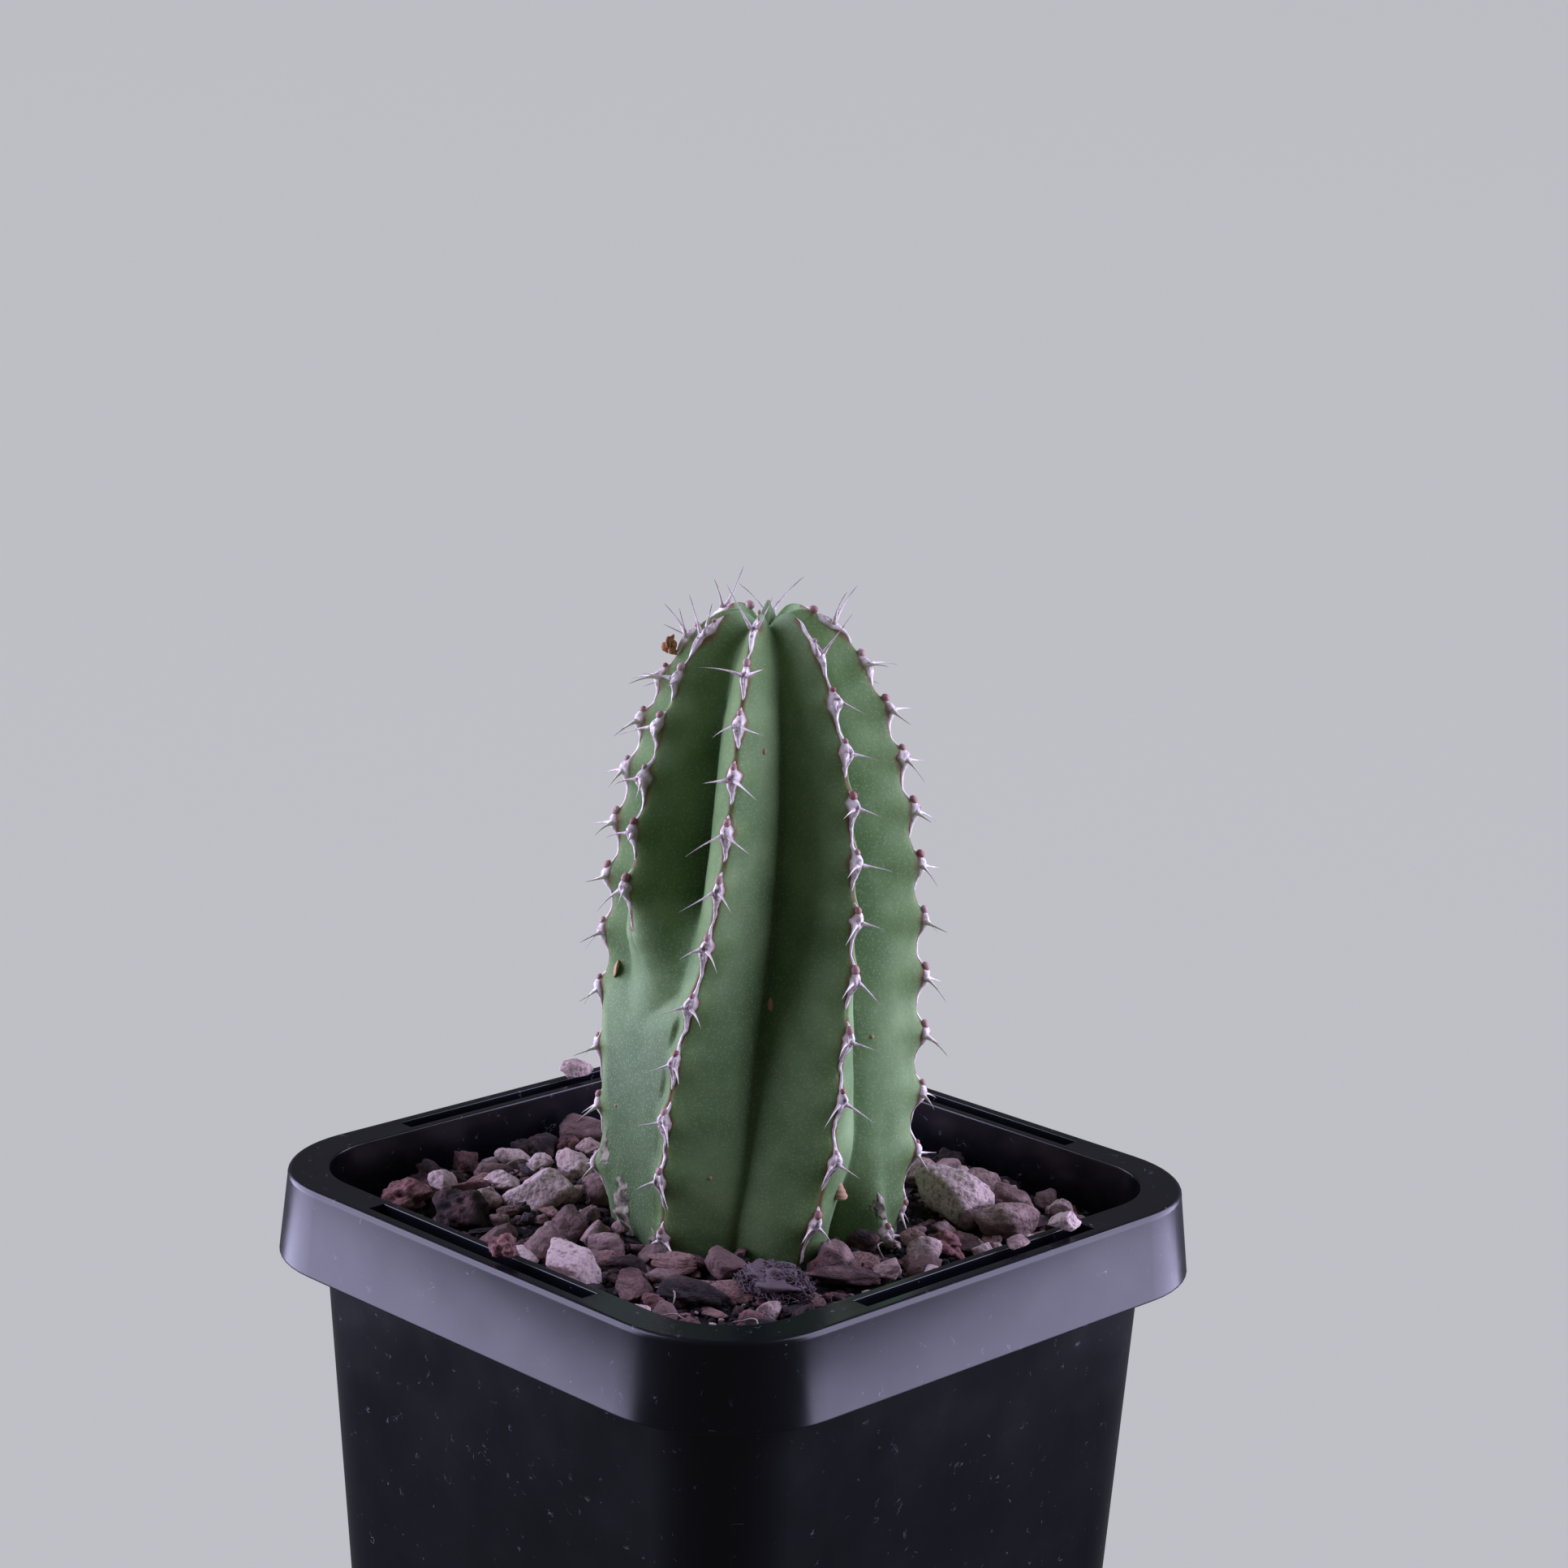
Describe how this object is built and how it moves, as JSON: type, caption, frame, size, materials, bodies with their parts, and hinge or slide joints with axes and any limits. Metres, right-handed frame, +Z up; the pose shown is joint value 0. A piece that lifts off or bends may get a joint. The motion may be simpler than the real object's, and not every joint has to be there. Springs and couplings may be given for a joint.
{
  "type": "potted euphorbia",
  "caption": "Spiny ribbed column of a succulent euphorbia growing in a small square nursery pot of potting mix, topped with loose pumice, lava and bark; stands on a shelf or table.",
  "frame": {"origin": "centre of the whole part's bounding box, at the pot's underside", "axes": "+Z up, from the pot's foot to the stem's tip; the pot's sides run along X and Y"},
  "size_m": [0.0716, 0.0716, 0.1375],
  "materials": {
    "black_plastic": "satin",
    "potting_soil": "matte",
    "green_skin": "satin",
    "horn": "satin",
    "dry_flower": "matte",
    "dry_stalk": "matte",
    "pumice": "matte",
    "red_lava": "matte",
    "bark": "matte",
    "root_fibre": "matte"
  },
  "bodies": {
    "root": {"nursery_pot": "black_plastic", "potting_mix": "potting_soil", "euphorbia_stem": "green_skin", "bark_1": "bark", "bark_2": "bark", "bark_3": "bark", "bark_4": "bark", "bark_5": "bark", "bark_6": "bark", "dried_flower": "dry_flower", "dried_flower_stalk": "dry_stalk", "horn_margin_1": "horn", "horn_margin_2": "horn", "horn_margin_3": "horn", "horn_margin_4": "horn", "horn_margin_5": "horn", "horn_margin_6": "horn", "horn_margin_7": "horn", "horn_margin_8": "horn", "lava_1": "red_lava", "lava_2": "red_lava", "lava_3": "red_lava", "lava_4": "red_lava", "lava_5": "red_lava", "lava_6": "red_lava", "lava_7": "red_lava", "lava_8": "red_lava", "ledge_lava_1": "red_lava", "ledge_pumice_1": "pumice", "ledge_pumice_2": "pumice", "ledge_pumice_3": "pumice", "pumice_1": "pumice", "pumice_2": "pumice", "pumice_3": "pumice", "pumice_4": "pumice", "pumice_5": "pumice", "pumice_6": "pumice", "pumice_7": "pumice", "pumice_8": "pumice", "pumice_9": "pumice", "pumice_10": "pumice", "pumice_11": "pumice", "pumice_12": "pumice", "pumice_13": "pumice", "pumice_14": "pumice", "pumice_15": "pumice", "pumice_16": "pumice", "pumice_17": "pumice", "pumice_18": "pumice", "pumice_19": "pumice", "pumice_20": "pumice", "pumice_21": "pumice", "root_clump": "root_fibre"}
  },
  "joints": []
}
